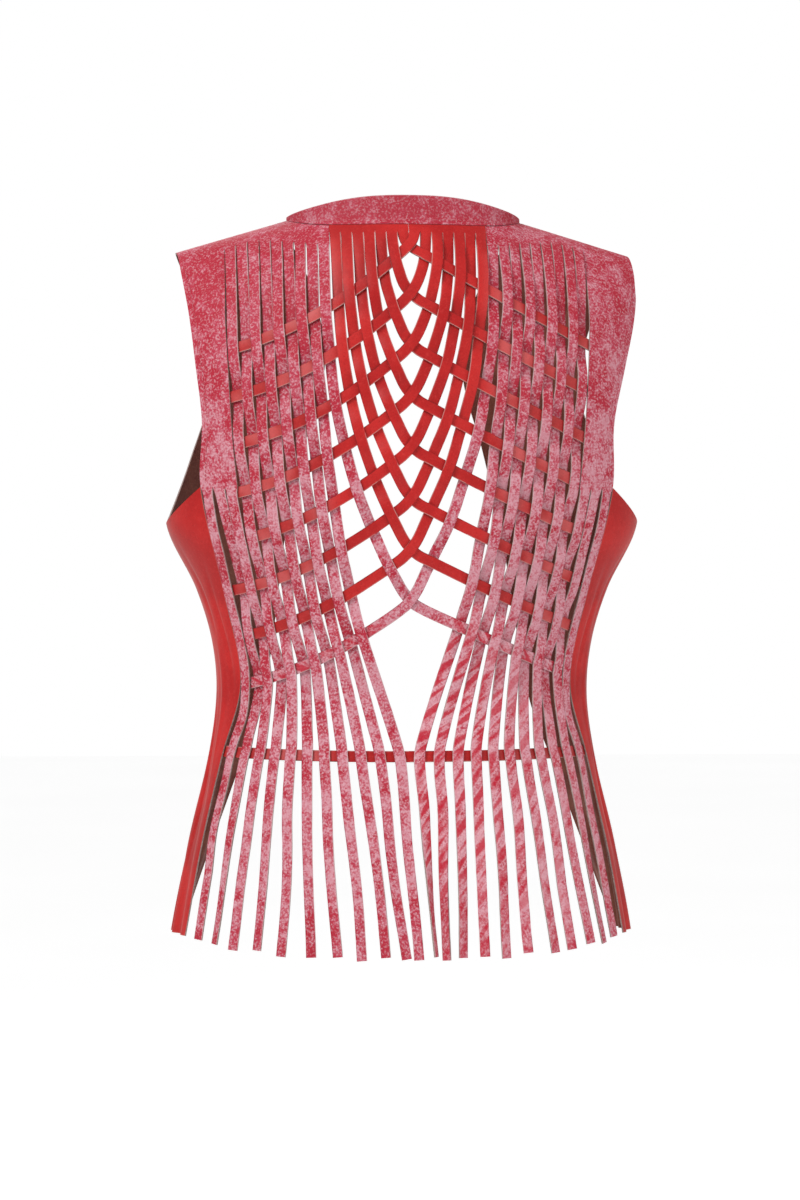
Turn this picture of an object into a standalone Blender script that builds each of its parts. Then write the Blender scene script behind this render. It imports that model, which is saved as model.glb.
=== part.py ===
"""Sleeveless leather vest, back towards +Y, wearer's left towards +X, origin between the neck points.

Two plain fronts wrap round the sides. Each back half is cut into strips below the shoulder and the
yoke is cut into strips below the neckband. Strips of one half cross the centre and are woven as rows
through the strips of the other half, and the rest hang to the hem as a fringe, held by one belt strip.
All tables are in millimetres, with z below the neck points negative.
"""
import math

import bpy
from mathutils import Vector

MM = 0.001
LEATHER = 1.2
STRIP_WIDTH = 8.6
OVER = 2.15
CENTRE_PART = 0.9
SEAM = 0.7
SEAM_TO_FRONT = 0.5
BAND_TUCK = 0.15
BAND_SEAM = 1.05
BAND_SEAM_SPREAD = 15.0
BAND_LOW = 1.5
BAND_HIGH = 23.5
BAND_ROUND = 3.5
BAND_TAPER = 0.8
BAND_LEAN = 0.4
BAND_ENDS = 0.985
ROUNDNESS = 2.3
ROLL = 120.0

NECK_X = 95.0
NECK_RISE = 30.0
NECK_DIP = 9.0
NECK_FLATNESS = 6
TIP_X = 183.0
TIP_DROP = 26.0
YOKE_HALF = 62.0
YOKE_STRIPS = 7
STRIP_PITCH = 9.1
WARPS = 11
FREE_WARPS = 8
YOKE_SLIT = 4.5
SEAM_TOP = -216.0
BAND_TOP = -62.0
BAND_STEPS = 7
UNDERARM = -243.0
SEAM_FOLLOWED_TO = -390.0
SIDE_HEM = -572.0
SIDE_ROWS = 12
HEM_FLARE = 7.0
BELT_Z = -427.0
BELT_HEIGHT = 8.7
BELT_END = 146.5
BELT_SAG = 2.5
BELT_STEPS = 24
BACK_HEM = -584.0

# level: height, half width, depth of the back, depth of the front
FORM = (
    (40, 196, 92, 80),
    (-60, 196, 100, 95),
    (-150, 194, 106, 112),
    (-243, 190, 100, 112),
    (-295, 166, 90, 100),
    (-338, 153, 84, 94),
    (-382, 149.5, 80, 90),
    (-442, 157, 88, 95),
    (-513, 172, 100, 102),
    (-572, 182, 107, 106),
    (-620, 187, 110, 107),
)

# outer edge of the back: height, distance from the centre on the left half, on the right half
BACK_EDGE = (
    (-26, 183, 183), (-52, 177, 187), (-80, 172, 184), (-120, 167, 174), (-165, 162, 164), (-216, 163, 163),
    (-300, 144, 144), (-370, 131, 131), (-430, 146, 146), (-500, 162, 162), (-572, 175, 175),
)

# other outlines: height, distance from the centre
ARMHOLE_FRONT = ((-26, 183), (-80, 160), (-130, 154), (-190, 171), (-243, 190))
FRONT_EDGE = (
    (0, 95), (-50, 68), (-110, 58), (-180, 76), (-243, 90),
    (-382, 110), (-440, 130), (-545, 168), (-572, 176),
)

# tops of the slits in the back half: distance from the centre, height
SLIT_TOP = ((62, -24), (90, -21), (115, -17), (140, -22), (183, -44))

# woven rows: evenly spaced down the centre, each falling to the side, more bowed on the wearer's left
CROSSING_ROWS = 8
FIRST_CROSSING = -27.0
CROSSING_PITCH = 40.0
ROW_REACH = 135.0
UPPER_ROWS = 5
UPPER_END = 2.5
LOWER_END = 7.0
COVERED = 1.3
SUNK = (1.15, 1, 0.67, 0.33)
CENTRE_REACH = 7.0
FIRST_REACH = 3.2
FIRST_SHIFT = 0.15
ROW_FALL = {1: 80.0, -1: 72.0}
ROW_FALLS_LESS = 2.0
ROW_BOW = {1: 0.6, -1: 0.15}
BEND = {1: 2.7, -1: 2.4}

# hanging strips: height, innermost strip, outermost strip, how much closer they lie at the side
FRINGE = (
    (-216, 62, 159, 0.0),
    (-310, 44, 138, 0.1),
    (-384, 20, 128, 0.16),
    (-427, 8, 139, 0.2),
)
HEM_INNERMOST = {1: -6.0, -1: 20.0}
HEM_OUTERMOST = 166.0
HEM_BUNCHING = 0.5
HEM_LIFT = 0.5
HEM_RISE = 10.0
HEM_WANDER = 1.5
STRAIGHT_FROM = -40.0
STRAIGHT_TO = -80.0
BELOW_BELT = -470.0
ABOVE_HEM = -525.0

COLOURS = {
    "smooth red leather": ((0.55, 0.03, 0.03, 1), 0.45),
    "frosted red leather": ((0.58, 0.12, 0.16, 1), 0.75),
}


def smooth(table, t):
    """Cubic through (t, value) points, with t falling or rising along the table."""
    points = sorted(table)
    if t <= points[0][0]:
        return points[0][1]
    if t >= points[-1][0]:
        return points[-1][1]
    i = max(k for k in range(len(points) - 1) if points[k][0] <= t)
    (t0, a), (t1, b) = points[i], points[i + 1]

    def slope(k):
        low, high = max(k - 1, 0), min(k + 1, len(points) - 1)
        return (points[high][1] - points[low][1]) / (points[high][0] - points[low][0])

    span = t1 - t0
    s = (t - t0) / span
    return (
        (2 * s**3 - 3 * s**2 + 1) * a
        + (s**3 - 2 * s**2 + s) * span * slope(i)
        + (3 * s**2 - 2 * s**3) * b
        + (s**3 - s**2) * span * slope(i + 1)
    )


def column(index):
    return [(row[0], row[index]) for row in FORM]


HALF_WIDTH, BACK_DEPTH, FRONT_DEPTH = column(1), column(2), column(3)


def shoulder_z(x):
    """Height of the line that the back and the front roll up to."""
    out = abs(x)
    if out < NECK_X:
        return NECK_RISE * (1 - (out / NECK_X) ** 2)
    return -TIP_DROP * (out - NECK_X) / (TIP_X - NECK_X)


def neck_z(x):
    return -NECK_DIP * max(0.0, 1 - (x / NECK_X) ** NECK_FLATNESS)


def run_at(x, z):
    """Distance down the cloth from the shoulder line to height z."""
    down = max(0.0, shoulder_z(x) - z)
    if down < ROLL:
        return ROLL * math.acos(1 - down / ROLL)
    return ROLL * math.pi / 2 + down - ROLL


def neck_run(x):
    """Distance down the cloth of the edge under the neckband, which drops clear of the band's low ends."""
    return run_at(x, neck_z(x)) - BAND_TUCK + max(0.0, x - YOKE_HALF) / BAND_SEAM_SPREAD


def on_form(x, run, back=True):
    """Point of the garment's form, the given distance down from the shoulder line."""
    turn = min(run / ROLL, math.pi / 2)
    down = ROLL * (1 - math.cos(turn)) + max(0.0, run - ROLL * math.pi / 2)
    z = shoulder_z(x) - down
    half = smooth(HALF_WIDTH, z)
    depth = smooth(BACK_DEPTH if back else FRONT_DEPTH, z)
    share = min(abs(x) / half, 1.0)
    y = depth * (1 - share**ROUNDNESS) ** (1 / ROUNDNESS) * math.sin(turn)
    return Vector((x, y if back else -y, z))


def facing(x, run, back=True):
    """Outward direction of the form."""
    step = 0.5
    run = max(run, step)
    across = on_form(x + step, run, back) - on_form(x - step, run, back)
    down = on_form(x, run + step, back) - on_form(x, run - step, back)
    normal = across.cross(down).normalized()
    return normal if normal.y * (1 if back else -1) > 0 or normal.z > 0.7 else -normal


def on_back(x, z, out=0.0):
    run = run_at(x, z)
    return on_form(x, run) + facing(x, run) * out


def finish(name, sheet, material):
    """One named piece: an open surface given the leather's thickness."""
    mesh = bpy.data.meshes.new(name)
    mesh.from_pydata([tuple(point * MM) for point in sheet.points], [], sheet.faces)
    mesh.materials.append(material)
    mesh.shade_smooth()
    piece = bpy.data.objects.new(name, mesh)
    bpy.data.collections["leather vest"].objects.link(piece)
    wall = piece.modifiers.new("leather", "SOLIDIFY")
    wall.thickness = LEATHER * MM
    wall.offset = 0
    piece.modifiers.new("flat shading at the cut edges", "WEIGHTED_NORMAL")
    return piece


class Sheet:
    """Collects the points and four-sided faces of one open surface."""

    def __init__(self):
        self.points = []
        self.faces = []

    def add(self, point):
        self.points.append(point)
        return len(self.points) - 1

    def rows(self, rows):
        """Faces between rows of point numbers from top to bottom, which run towards +X across the back."""
        for upper, lower in zip(rows, rows[1:]):
            for a, b, c, d in zip(upper, upper[1:], lower[1:], lower):
                self.faces.append((a, b, c, d))


def ribbon_edges(stations, width=STRIP_WIDTH):
    """Edge points of a strip through (x, z, out) stations, square to its own direction on the form."""
    centres = [on_back(*station) for station in stations]
    edges = []
    for i, (x, z, _) in enumerate(stations):
        along = centres[min(i + 1, len(centres) - 1)] - centres[max(i - 1, 0)]
        side = facing(x, run_at(x, z)).cross(along).normalized()
        edges.append((centres[i] + side * width / 2, centres[i] - side * width / 2))
    return edges


def add_strip(sheet, ends, stations):
    """Hangs a strip from two points of the sheet, given towards +X."""
    pairs = [tuple(sheet.add(point) for point in pair) for pair in ribbon_edges(stations)]
    sheet.rows([ends] + pairs)


def crossing_z(index):
    """Height at which crossing strip 1 to 8 passes the centre."""
    return FIRST_CROSSING - CROSSING_PITCH * (index - 1)


def row_z(half, index, x):
    """Height of a woven row, on the left half (+1) or the right half (-1), at a distance from the centre."""
    fall = ROW_FALL[half] - ROW_FALLS_LESS * (index - 1)
    bow = ROW_BOW[half]
    t = x / ROW_REACH
    if t > 1:
        return crossing_z(index) - fall * (1 + (1 - bow) * (t - 1))
    return crossing_z(index) - fall * ((1 - bow) * t + bow * (2 * t - t * t))


def yoke_strip_top(index):
    """Distance from the centre and height at which crossing strip 1 to 8 begins."""
    pitch = YOKE_HALF / YOKE_STRIPS
    if index <= YOKE_STRIPS:
        x = pitch * (index - 0.5)
        return x, neck_z(x) - YOKE_SLIT
    x = YOKE_HALF + STRIP_PITCH / 2
    return x, slit_z(x)


def back_edge(half, z):
    """How far from the centre the back ends, on the left half (+1) or the right half (-1)."""
    return smooth([(row[0], row[1] if half > 0 else row[2]) for row in BACK_EDGE], z)


def slit_z(x):
    """Height at which the slits of the back half begin."""
    return smooth(SLIT_TOP, x)


def warp_x(half, index, z):
    """Distance from the centre of strip 1 to 8 (they cross) or 9 to 19 (they hang) in its own half."""
    if index <= CROSSING_ROWS:
        x_top, z_top = yoke_strip_top(index)
        t = (z_top - z) / (z_top - crossing_z(index))
        return x_top * (1 - min(max(t, 0.0), 1.0) ** BEND[half])
    j = index - CROSSING_ROWS
    if j == WARPS and z > SEAM_FOLLOWED_TO:
        edge = back_edge(half, z) - SEAM / 2
        return edge - STRIP_WIDTH / 2 * abs(facing(edge - 3, run_at(edge - 3, z)).y)
    top = YOKE_HALF + STRIP_PITCH * (j + 0.5)
    out = (j - 1) / (WARPS - 1)
    held = []
    for level, inner, outer, crowding in FRINGE:
        held.append((level, inner + (outer - inner) * out * (1 + crowding * (1 - out))))
    hem = hem_x(half, j)
    below_belt = held[-1][1] * 0.7 + hem * 0.3
    places = [(STRAIGHT_FROM, top), (STRAIGHT_TO, top), *held, (BELOW_BELT, below_belt), (BACK_HEM, hem)]
    return smooth(places, z)


def hem_x(half, j):
    """Distance from the centre of hanging strip 1 to 11 at the hem, wider apart halfway out."""
    out = (j - 1) / (WARPS - 1)
    bunched = 3 * out**2 - 2 * out**3
    share = out + HEM_BUNCHING * (bunched - out)
    return HEM_INNERMOST[half] + (HEM_OUTERMOST - HEM_INNERMOST[half]) * share


def meeting(half, row, warp):
    """Distance from the centre and height where a row meets a strip of that half."""
    if warp <= CROSSING_ROWS:
        high, low = yoke_strip_top(warp)[1], crossing_z(warp)
    else:
        high, low = FIRST_CROSSING, BELT_Z
    for _ in range(40):
        middle = (high + low) / 2
        if middle > row_z(half, row, warp_x(half, warp, middle)):
            high = middle
        else:
            low = middle
    return warp_x(half, warp, middle), middle


def row_is_over(half, row, warp):
    """Plain weave: where the indexes differ by an even number, the strip from the right lies over."""
    even = (row - warp) % 2 == 0
    return even if half > 0 else not even


def crossed(row):
    """Strips that a row meets on its way out, the last of which covers its end."""
    last = CROSSING_ROWS + FREE_WARPS + 1 if row <= UPPER_ROWS else CROSSING_ROWS + WARPS
    return list(range(row + 1, last + 1))


def row_level(half, row, warp):
    """How far out the row lies at a strip: parted beside the centre, and sunk towards its covered end."""
    left = crossed(row)[-1] - warp
    if left < len(SUNK):
        return -OVER * SUNK[left]
    return half * CENTRE_PART * 0.7 if warp == row + 1 else 0.0


def meeting_reach(half, row, warp):
    """Half of the strip's run that the row takes up."""
    x, z = meeting(half, row, warp)
    down = math.atan2(warp_x(half, warp, z + 2) - warp_x(half, warp, z - 2), 4)
    fall = math.atan2(row_z(half, row, max(x - 2, 0)) - row_z(half, row, x + 2), 4)
    angle = math.pi / 2 - fall + down
    angle = min(max(angle, 0.7), math.pi - 0.7)
    return STRIP_WIDTH / 2 * (1 / math.sin(angle) + abs(1 / math.tan(angle))) + 0.8


def own_half(half, index):
    """Stations of a strip through the rows that it meets in its own half."""
    stations = []
    for row in range(1, min(index, CROSSING_ROWS + 1)):
        if index not in crossed(row):
            continue
        z = meeting(half, row, index)[1]
        side = -1 if row_is_over(half, row, index) else 1
        out = row_level(half, row, index) + side * OVER
        if index == crossed(row)[-1]:
            out = 0.0
        reach = meeting_reach(half, row, index)
        for level in (z + reach, z - reach):
            stations.append((half * warp_x(half, index, level), level, out))
    return stations


def row_stations(half, row):
    """Stations of a row from the centre out through the other half to its covered end."""
    stations = []
    for warp in crossed(row):
        x, z = meeting(half, row, warp)
        stations.append((half * x, z, row_level(half, row, warp)))
    last = crossed(row)[-1]
    x = meeting(half, row, last)[0] + (UPPER_END if row <= UPPER_ROWS else LOWER_END)
    stations.append((half * x, row_z(half, row, x), -COVERED * OVER))
    return stations


def crossing_stations(side, index):
    """Whole way of a strip that begins on one side, crosses the centre and ends in the other half."""
    x_top, z_top = yoke_strip_top(index)
    centre = crossing_z(index)
    out = -side * CENTRE_PART
    stations = own_half(side, index)
    reach = CENTRE_REACH if index > 1 else FIRST_REACH
    level = centre + reach
    stations.append((side * warp_x(side, index, level), level, out))
    if index == 1:
        stations.insert(0, (side * (x_top + FIRST_SHIFT), z_top - 2.4, out))
    after = reach * 0.75
    stations.append((-side * after, row_z(-side, index, after), out))
    stations += row_stations(-side, index)
    return stations


def hem_z(side, index):
    x = abs(warp_x(side, index, BACK_HEM))
    return BACK_HEM + HEM_RISE * (x / HEM_OUTERMOST) ** 3 + HEM_WANDER * math.sin(2.4 * index + side)


def fringe_stations(side, index):
    """A hanging strip: through the rows, over the belt strip and down to the hem."""
    lift = HEM_LIFT if index % 3 == 2 else 0.0
    if index < CROSSING_ROWS + WARPS:
        opened = slit_z(warp_x(side, index, STRAIGHT_FROM)) - 7
        free = []
        if index <= CROSSING_ROWS + FREE_WARPS:
            free = [(side * warp_x(side, index, opened), opened, 0.0)]
        stations = free + own_half(side, index)
    else:
        levels = [SEAM_TOP + (SIDE_HEM - SEAM_TOP) * r / SIDE_ROWS for r in range(1, 7)]
        stations = [(side * warp_x(side, index, level), level, 0.0) for level in levels]
    hem = hem_z(side, index)
    levels = ((BELT_Z + 9, 0), (BELT_Z - 7, 0), (BELOW_BELT, 0.3), (ABOVE_HEM, 0.7), (hem, 1))
    for level, share in levels:
        stations.append((side * warp_x(side, index, level), level, share * lift))
    return stations


def in_order(side, numbers):
    """Point numbers counted out from the centre, turned to run towards +X."""
    return numbers if side > 0 else numbers[::-1]


def cut_ends(side, row):
    """Ends of the strips below a row, nearest the centre first, each pair running towards +X."""
    pairs = list(zip(row, row[1:]))
    return pairs if side > 0 else pairs[::-1]


def yoke(side, name, material):
    """Half of the yoke, cut into seven strips just below the neckband."""
    sheet = Sheet()
    pitch = YOKE_HALF / YOKE_STRIPS
    cuts = [SEAM / 2] + [pitch * i for i in range(1, YOKE_STRIPS)] + [YOKE_HALF - SEAM / 2]
    rows = []
    for share in (0, 0.5, 1):
        numbers = []
        for x in cuts:
            top = neck_run(x)
            run = top + share * (run_at(x, neck_z(x) - YOKE_SLIT) - top)
            numbers.append(sheet.add(on_form(side * x, run)))
        rows.append(in_order(side, numbers))
    sheet.rows(rows)
    for i, ends in enumerate(cut_ends(side, rows[-1])):
        add_strip(sheet, ends, crossing_stations(side, i + 1))
    return finish(name, sheet, material)


def back_half(side, name, material):
    """Back half: shoulder and armhole band, one crossing strip and eleven hanging strips."""
    sheet = Sheet()
    parts = WARPS - FREE_WARPS
    cuts = [YOKE_HALF + SEAM / 2] + [YOKE_HALF + STRIP_PITCH * i for i in range(1, FREE_WARPS + 2)]

    def band_cuts(start, z):
        edge = back_edge(side, z)
        return [start + (edge - start) * k / parts for k in range(parts + 1)]

    rows = []
    for share in (0, 0.35, 0.7, 1):
        z = shoulder_z(TIP_X) + share * (slit_z(TIP_X) - shoulder_z(TIP_X))
        numbers = []
        for x in cuts + band_cuts(cuts[-1], z)[1:]:
            top = neck_run(x) if x < NECK_X else 0.0
            point = on_form(side * x, top + share * (run_at(x, slit_z(x)) - top))
            point.y = max(point.y, SEAM / 2)
            numbers.append(sheet.add(point))
        rows.append(in_order(side, numbers))
    outermost = rows[-1][-1 - parts:] if side > 0 else rows[-1][:parts + 1]
    band = [outermost]
    for z in [BAND_TOP + (SEAM_TOP - BAND_TOP) * k / BAND_STEPS for k in range(BAND_STEPS + 1)]:
        free_edge = warp_x(side, CROSSING_ROWS + FREE_WARPS, z) + STRIP_PITCH / 2 + 0.3
        start = cuts[-1] if z > STRAIGHT_TO else free_edge
        numbers = [sheet.add(on_back(side * x, z)) for x in band_cuts(start, z)]
        band.append(in_order(side, numbers))
    sheet.rows(rows)
    sheet.rows(band)
    ends = cut_ends(side, rows[-1])[:FREE_WARPS + 1] + cut_ends(side, band[-1])
    add_strip(sheet, ends[0], crossing_stations(side, CROSSING_ROWS))
    for j in range(1, WARPS + 1):
        stations = fringe_stations(side, CROSSING_ROWS + j)
        free = stations if j <= FREE_WARPS else [s for s in stations if s[1] < SEAM_TOP - 4]
        add_strip(sheet, ends[j], free)
    return finish(name, sheet, material)


def section_points(z, x_back, x_front, side_columns, front_columns):
    """Points round one level, from the back edge over the side to the front edge."""
    half = smooth(HALF_WIDTH, z)

    def arc(x_end, depth, sign, count):
        stop = math.acos(min(x_end / half, 1.0) ** (ROUNDNESS / 2))
        fine = []
        for i in range(81):
            turn = stop * (i / 80) ** 1.5
            x = half * math.cos(turn) ** (2 / ROUNDNESS)
            fine.append(Vector((x, sign * depth * math.sin(turn) ** (2 / ROUNDNESS), z)))
        lengths = [0.0]
        for a, b in zip(fine, fine[1:]):
            lengths.append(lengths[-1] + (b - a).length)
        found = []
        for k in range(count + 1):
            want = lengths[-1] * k / count
            i = max(n for n in range(80) if lengths[n] <= want)
            part = (want - lengths[i]) / (lengths[i + 1] - lengths[i])
            found.append(fine[i].lerp(fine[i + 1], part))
        return found

    back = arc(x_back, smooth(BACK_DEPTH, z), 1, side_columns)
    front = arc(x_front, smooth(FRONT_DEPTH, z), -1, front_columns)
    return back[::-1] + front[1:]


def front(side, name, material):
    """Plain front with its side: from the back seam round to the open front edge."""
    side_columns, front_columns = 4, 8
    upper_shares = (0, 0.1, 0.22, 0.38, 0.54, 0.7, 0.85)
    sheet = Sheet()

    def folded(point, column, share_down):
        flare = max(0.0, share_down - 0.35) * HEM_FLARE
        wave = math.sin(math.pi * column / (side_columns + front_columns)) * math.sin(2.1 * column + 0.8)
        return point + Vector((point.x, point.y, 0)).normalized() * flare * wave

    def placed(point):
        return Vector((side * point.x, point.y, point.z))

    level_rows = []
    for r in range(SIDE_ROWS + 1):
        share = r / SIDE_ROWS
        numbers = []
        for c in range(side_columns + front_columns + 1):
            towards = min(c / side_columns, 1.0)
            top = SEAM_TOP + (UNDERARM - SEAM_TOP) * math.sin(towards * math.pi / 2)
            z = top + (SIDE_HEM - top) * share
            edge = back_edge(side, z) + SEAM_TO_FRONT
            run = section_points(z, edge, smooth(FRONT_EDGE, z), side_columns, front_columns)
            numbers.append(sheet.add(placed(folded(run[c], c, share))))
        level_rows.append(numbers)
    at_underarm = section_points(UNDERARM, 160, smooth(FRONT_EDGE, UNDERARM), side_columns, front_columns)
    first, last = at_underarm[side_columns].x, at_underarm[-1].x
    fractions = [(first - p.x) / (first - last) for p in at_underarm[side_columns:]]
    upper = []
    for share in upper_shares:
        numbers = []
        for fraction in fractions:
            x, z = 130.0, -100.0
            for _ in range(6):
                outer = smooth(ARMHOLE_FRONT, z)
                x = outer + (smooth(FRONT_EDGE, z) - outer) * fraction
                point = on_form(x, share * run_at(x, UNDERARM), back=False)
                z = point.z
            point.y = min(point.y, -SEAM / 2)
            numbers.append(sheet.add(placed(point)))
        upper.append(numbers)
    upper.append(level_rows[0][side_columns:])
    for rows in (upper, level_rows):
        sheet.rows([in_order(side, numbers) for numbers in rows])
    return finish(name, sheet, material)


def neckband(name, material):
    """Standing band round the back of the neck, low at its two ends."""
    sheet = Sheet()
    rows = []
    columns = 28
    for share in (0, 0.5, 1):
        numbers = []
        for c in range(columns + 1):
            x = NECK_X * BAND_ENDS * math.sin(math.pi / 2 * (2 * c / columns - 1))
            run = run_at(x, neck_z(x))
            base = on_form(x, run)
            rise = (on_form(x, max(run - 1, 0.0)) - on_form(x, run + 1)).normalized()
            lean = (rise * BAND_LEAN + Vector((0, 0, 1))).normalized()
            height = BAND_LOW + (BAND_HIGH - BAND_LOW) * (1 - (abs(x) / NECK_X) ** BAND_ROUND) ** BAND_TAPER
            numbers.append(sheet.add(base + rise * BAND_SEAM + lean * share * height))
        rows.append(numbers)
    sheet.rows(rows[::-1])
    return finish(name, sheet, material)


def belt(name, material):
    """One level strip behind the fringe, from side seam to side seam."""
    sheet = Sheet()
    stations = []
    for i in range(BELT_STEPS + 1):
        x = BELT_END * (1 - 2 * i / BELT_STEPS)
        sag = -BELT_SAG * (1 - (x / BELT_END) ** 2)
        stations.append((x, BELT_Z + 2 + sag, -OVER))
    sheet.rows([tuple(sheet.add(point) for point in pair) for pair in ribbon_edges(stations, BELT_HEIGHT)])
    return finish(name, sheet, material)


def make_materials():
    made = {}
    for name, (colour, roughness) in COLOURS.items():
        material = bpy.data.materials.new(name)
        material.use_nodes = True
        shader = material.node_tree.nodes["Principled BSDF"]
        shader.inputs["Base Color"].default_value = colour
        shader.inputs["Roughness"].default_value = roughness
        made[name] = material
    return made["smooth red leather"], made["frosted red leather"]


def build():
    for old in list(bpy.data.objects):
        bpy.data.objects.remove(old)
    group = bpy.data.collections.new("leather vest")
    bpy.context.scene.collection.children.link(group)
    smooth_red, frosted_red = make_materials()
    neckband("neckband", frosted_red)
    belt("belt_strip", smooth_red)
    for side, word in ((1, "left"), (-1, "right")):
        yoke(side, f"yoke_{word}", smooth_red)
        back_half(side, f"back_{word}", frosted_red)
        front(side, f"front_{word}", smooth_red)


build()
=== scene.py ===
"""Looks of the leather vest: woven strips, smooth and frosted red leather, stitching, soft folds.

Sizes are in millimetres, with z below the neck points negative, the back towards +Y and the
wearer's left towards +X. Those down to the hanging strips are the pattern's own, but the seams
are closed up and the neckband's ends are lower, so that no light shows between the pieces.
"""
import math

import bpy
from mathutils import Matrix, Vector, noise


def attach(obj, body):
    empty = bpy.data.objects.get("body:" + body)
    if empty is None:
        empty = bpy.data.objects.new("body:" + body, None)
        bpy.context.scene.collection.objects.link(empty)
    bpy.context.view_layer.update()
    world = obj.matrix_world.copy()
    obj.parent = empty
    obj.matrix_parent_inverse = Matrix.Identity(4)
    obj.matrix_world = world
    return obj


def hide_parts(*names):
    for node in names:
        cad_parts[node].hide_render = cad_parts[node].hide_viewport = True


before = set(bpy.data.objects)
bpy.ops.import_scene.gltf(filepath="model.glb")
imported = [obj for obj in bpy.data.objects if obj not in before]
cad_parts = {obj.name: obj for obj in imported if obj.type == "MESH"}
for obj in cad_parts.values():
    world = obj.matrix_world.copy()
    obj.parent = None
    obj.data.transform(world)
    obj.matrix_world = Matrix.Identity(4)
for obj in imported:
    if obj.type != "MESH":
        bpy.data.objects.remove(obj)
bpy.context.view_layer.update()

MM = 0.001
LEATHER = 1.2
STRIP_WIDTH = 8.6
OVER = 2.15
CENTRE_PART = 0.9
SEAM = 0.2
SEAM_TO_FRONT = 0.15
BAND_TUCK = 0.15
BAND_SEAM = 0.8
BAND_SEAM_SPREAD = 60.0
BAND_LOW = 1.5
BAND_HIGH = 23.5
BAND_ROUND = 2.7
BAND_TAPER = 0.8
BAND_LEAN = 0.4
BAND_ENDS = 0.985
ROUNDNESS = 2.3
ROLL = 120.0

NECK_X = 95.0
NECK_RISE = 30.0
NECK_DIP = 9.0
NECK_FLATNESS = 6
TIP_X = 183.0
TIP_DROP = 26.0
YOKE_HALF = 62.0
YOKE_STRIPS = 7
STRIP_PITCH = 9.1
WARPS = 11
FREE_WARPS = 8
YOKE_SLIT = 4.5
SEAM_TOP = -216.0
BAND_TOP = -62.0
BAND_STEPS = 7
UNDERARM = -243.0
SEAM_FOLLOWED_TO = -390.0
SIDE_HEM = -572.0
SIDE_ROWS = 12
HEM_FLARE = 7.0
BELT_Z = -427.0
BELT_HEIGHT = 8.7
BELT_END = 146.5
BELT_SAG = 2.5
BACK_HEM = -584.0

# level: height, half width, depth of the back, depth of the front
FORM = (
    (40, 196, 92, 80),
    (-60, 196, 100, 95),
    (-150, 194, 106, 112),
    (-243, 190, 100, 112),
    (-295, 166, 90, 100),
    (-338, 153, 84, 94),
    (-382, 149.5, 80, 90),
    (-442, 157, 88, 95),
    (-513, 172, 100, 102),
    (-572, 182, 107, 106),
    (-620, 187, 110, 107),
)

# outer edge of the back: height, distance from the centre on the left half, on the right half
BACK_EDGE = (
    (-26, 183, 183), (-52, 177, 187), (-80, 172, 184), (-120, 167, 174), (-165, 162, 164),
    (-216, 163, 163),
    (-300, 144, 144), (-370, 131, 131), (-430, 146, 146), (-500, 162, 162), (-572, 175, 175),
)

# other outlines: height, distance from the centre
ARMHOLE_FRONT = ((-26, 183), (-80, 160), (-130, 154), (-190, 171), (-243, 190))
FRONT_EDGE = (
    (0, 95), (-50, 68), (-110, 58), (-180, 76), (-243, 90),
    (-382, 110), (-440, 130), (-545, 168), (-572, 176),
)

# tops of the slits in the back half: distance from the centre, height
SLIT_TOP = ((62, -24), (90, -21), (115, -17), (140, -22), (183, -44))

# woven rows: evenly spaced down the centre, falling to the side, more bowed on the left
CROSSING_ROWS = 8
FIRST_CROSSING = -27.0
CROSSING_PITCH = 40.0
ROW_REACH = 135.0
UPPER_ROWS = 5
UPPER_END = 2.5
LOWER_END = 7.0
COVERED = 1.3
SUNK = (1.15, 1, 0.67, 0.33)
CENTRE_REACH = 7.0
FIRST_REACH = 3.2
FIRST_SHIFT = 0.15
ROW_FALL = {1: 80.0, -1: 72.0}
ROW_FALLS_LESS = 2.0
ROW_BOW = {1: 0.6, -1: 0.15}
BEND = {1: 2.7, -1: 2.4}

# hanging strips: height, innermost strip, outermost strip, how much closer they lie at the side
FRINGE = (
    (-216, 62, 159, 0.0),
    (-310, 44, 138, 0.1),
    (-384, 20, 128, 0.16),
    (-427, 8, 139, 0.2),
)
HEM_INNERMOST = {1: -6.0, -1: 20.0}
HEM_OUTERMOST = 166.0
HEM_BUNCHING = 0.5
HEM_LIFT = 0.5
HEM_RISE = 10.0
HEM_WANDER = 1.5
STRAIGHT_FROM = -40.0
STRAIGHT_TO = -80.0
BELOW_BELT = -470.0
ABOVE_HEM = -525.0
HEM_PULL = 0.3

# how finely the leather is modelled
ACROSS_STRIP = 4
ALONG_STRIP = 3.0
PANEL_STEP = 3.0
YOKE_STEPS = 5
SHOULDER_STEPS = 9
SIDE_COLUMNS = 4
FRONT_COLUMNS = 8
FRONT_FINE = 8
LEVELS_FINE = 9
ARMHOLE_STEPS = 80

# what each point tells the leathers: how near a cut edge is, torn finish, place on a strip, and
# (seam) the top row where a painted shadow runs under the neckband
MARKS = ("edge", "torn", "along", "across", "seam")

# share of the way down at which the front begins to flare
FLARE_FROM = 0.35

# how far a strip is arched across, and how soon it leaves the shape of the edge that it hangs from
STRIP_CROWN = 0.22
HELD_LENGTH = 9.0

# how far a free strip strays aside and outwards below the belt
HANG_ASIDE = 4.0
HANG_OUT = 2.4
ASIDE_WAVE = 130
OUT_WAVE = 90

# cut of the strips, as shares of their width: widest, slimmer free ends, and wander of the cut
FULL_WIDTH = 1.02
END_SLIMMER = 0.1
UNEVEN_CUT = 0.05
CUT_WAVE = 26

# height from which the lowest woven row is torn
TORN_ROW_FROM = -314.0

# added for each strip to the distance along it, so that no two wear alike
STRIPS_APART = 370.0

# turn of each hanging strip's free end about its own length, innermost first, in degrees
END_TURN = {
    1: (14, -9, 22, -6, 12, -18, 8, 16, -10, 20, -12),
    -1: (-64, 44, -24, 20, -12, 17, -8, 14, 11, -16, 12),
}

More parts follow.
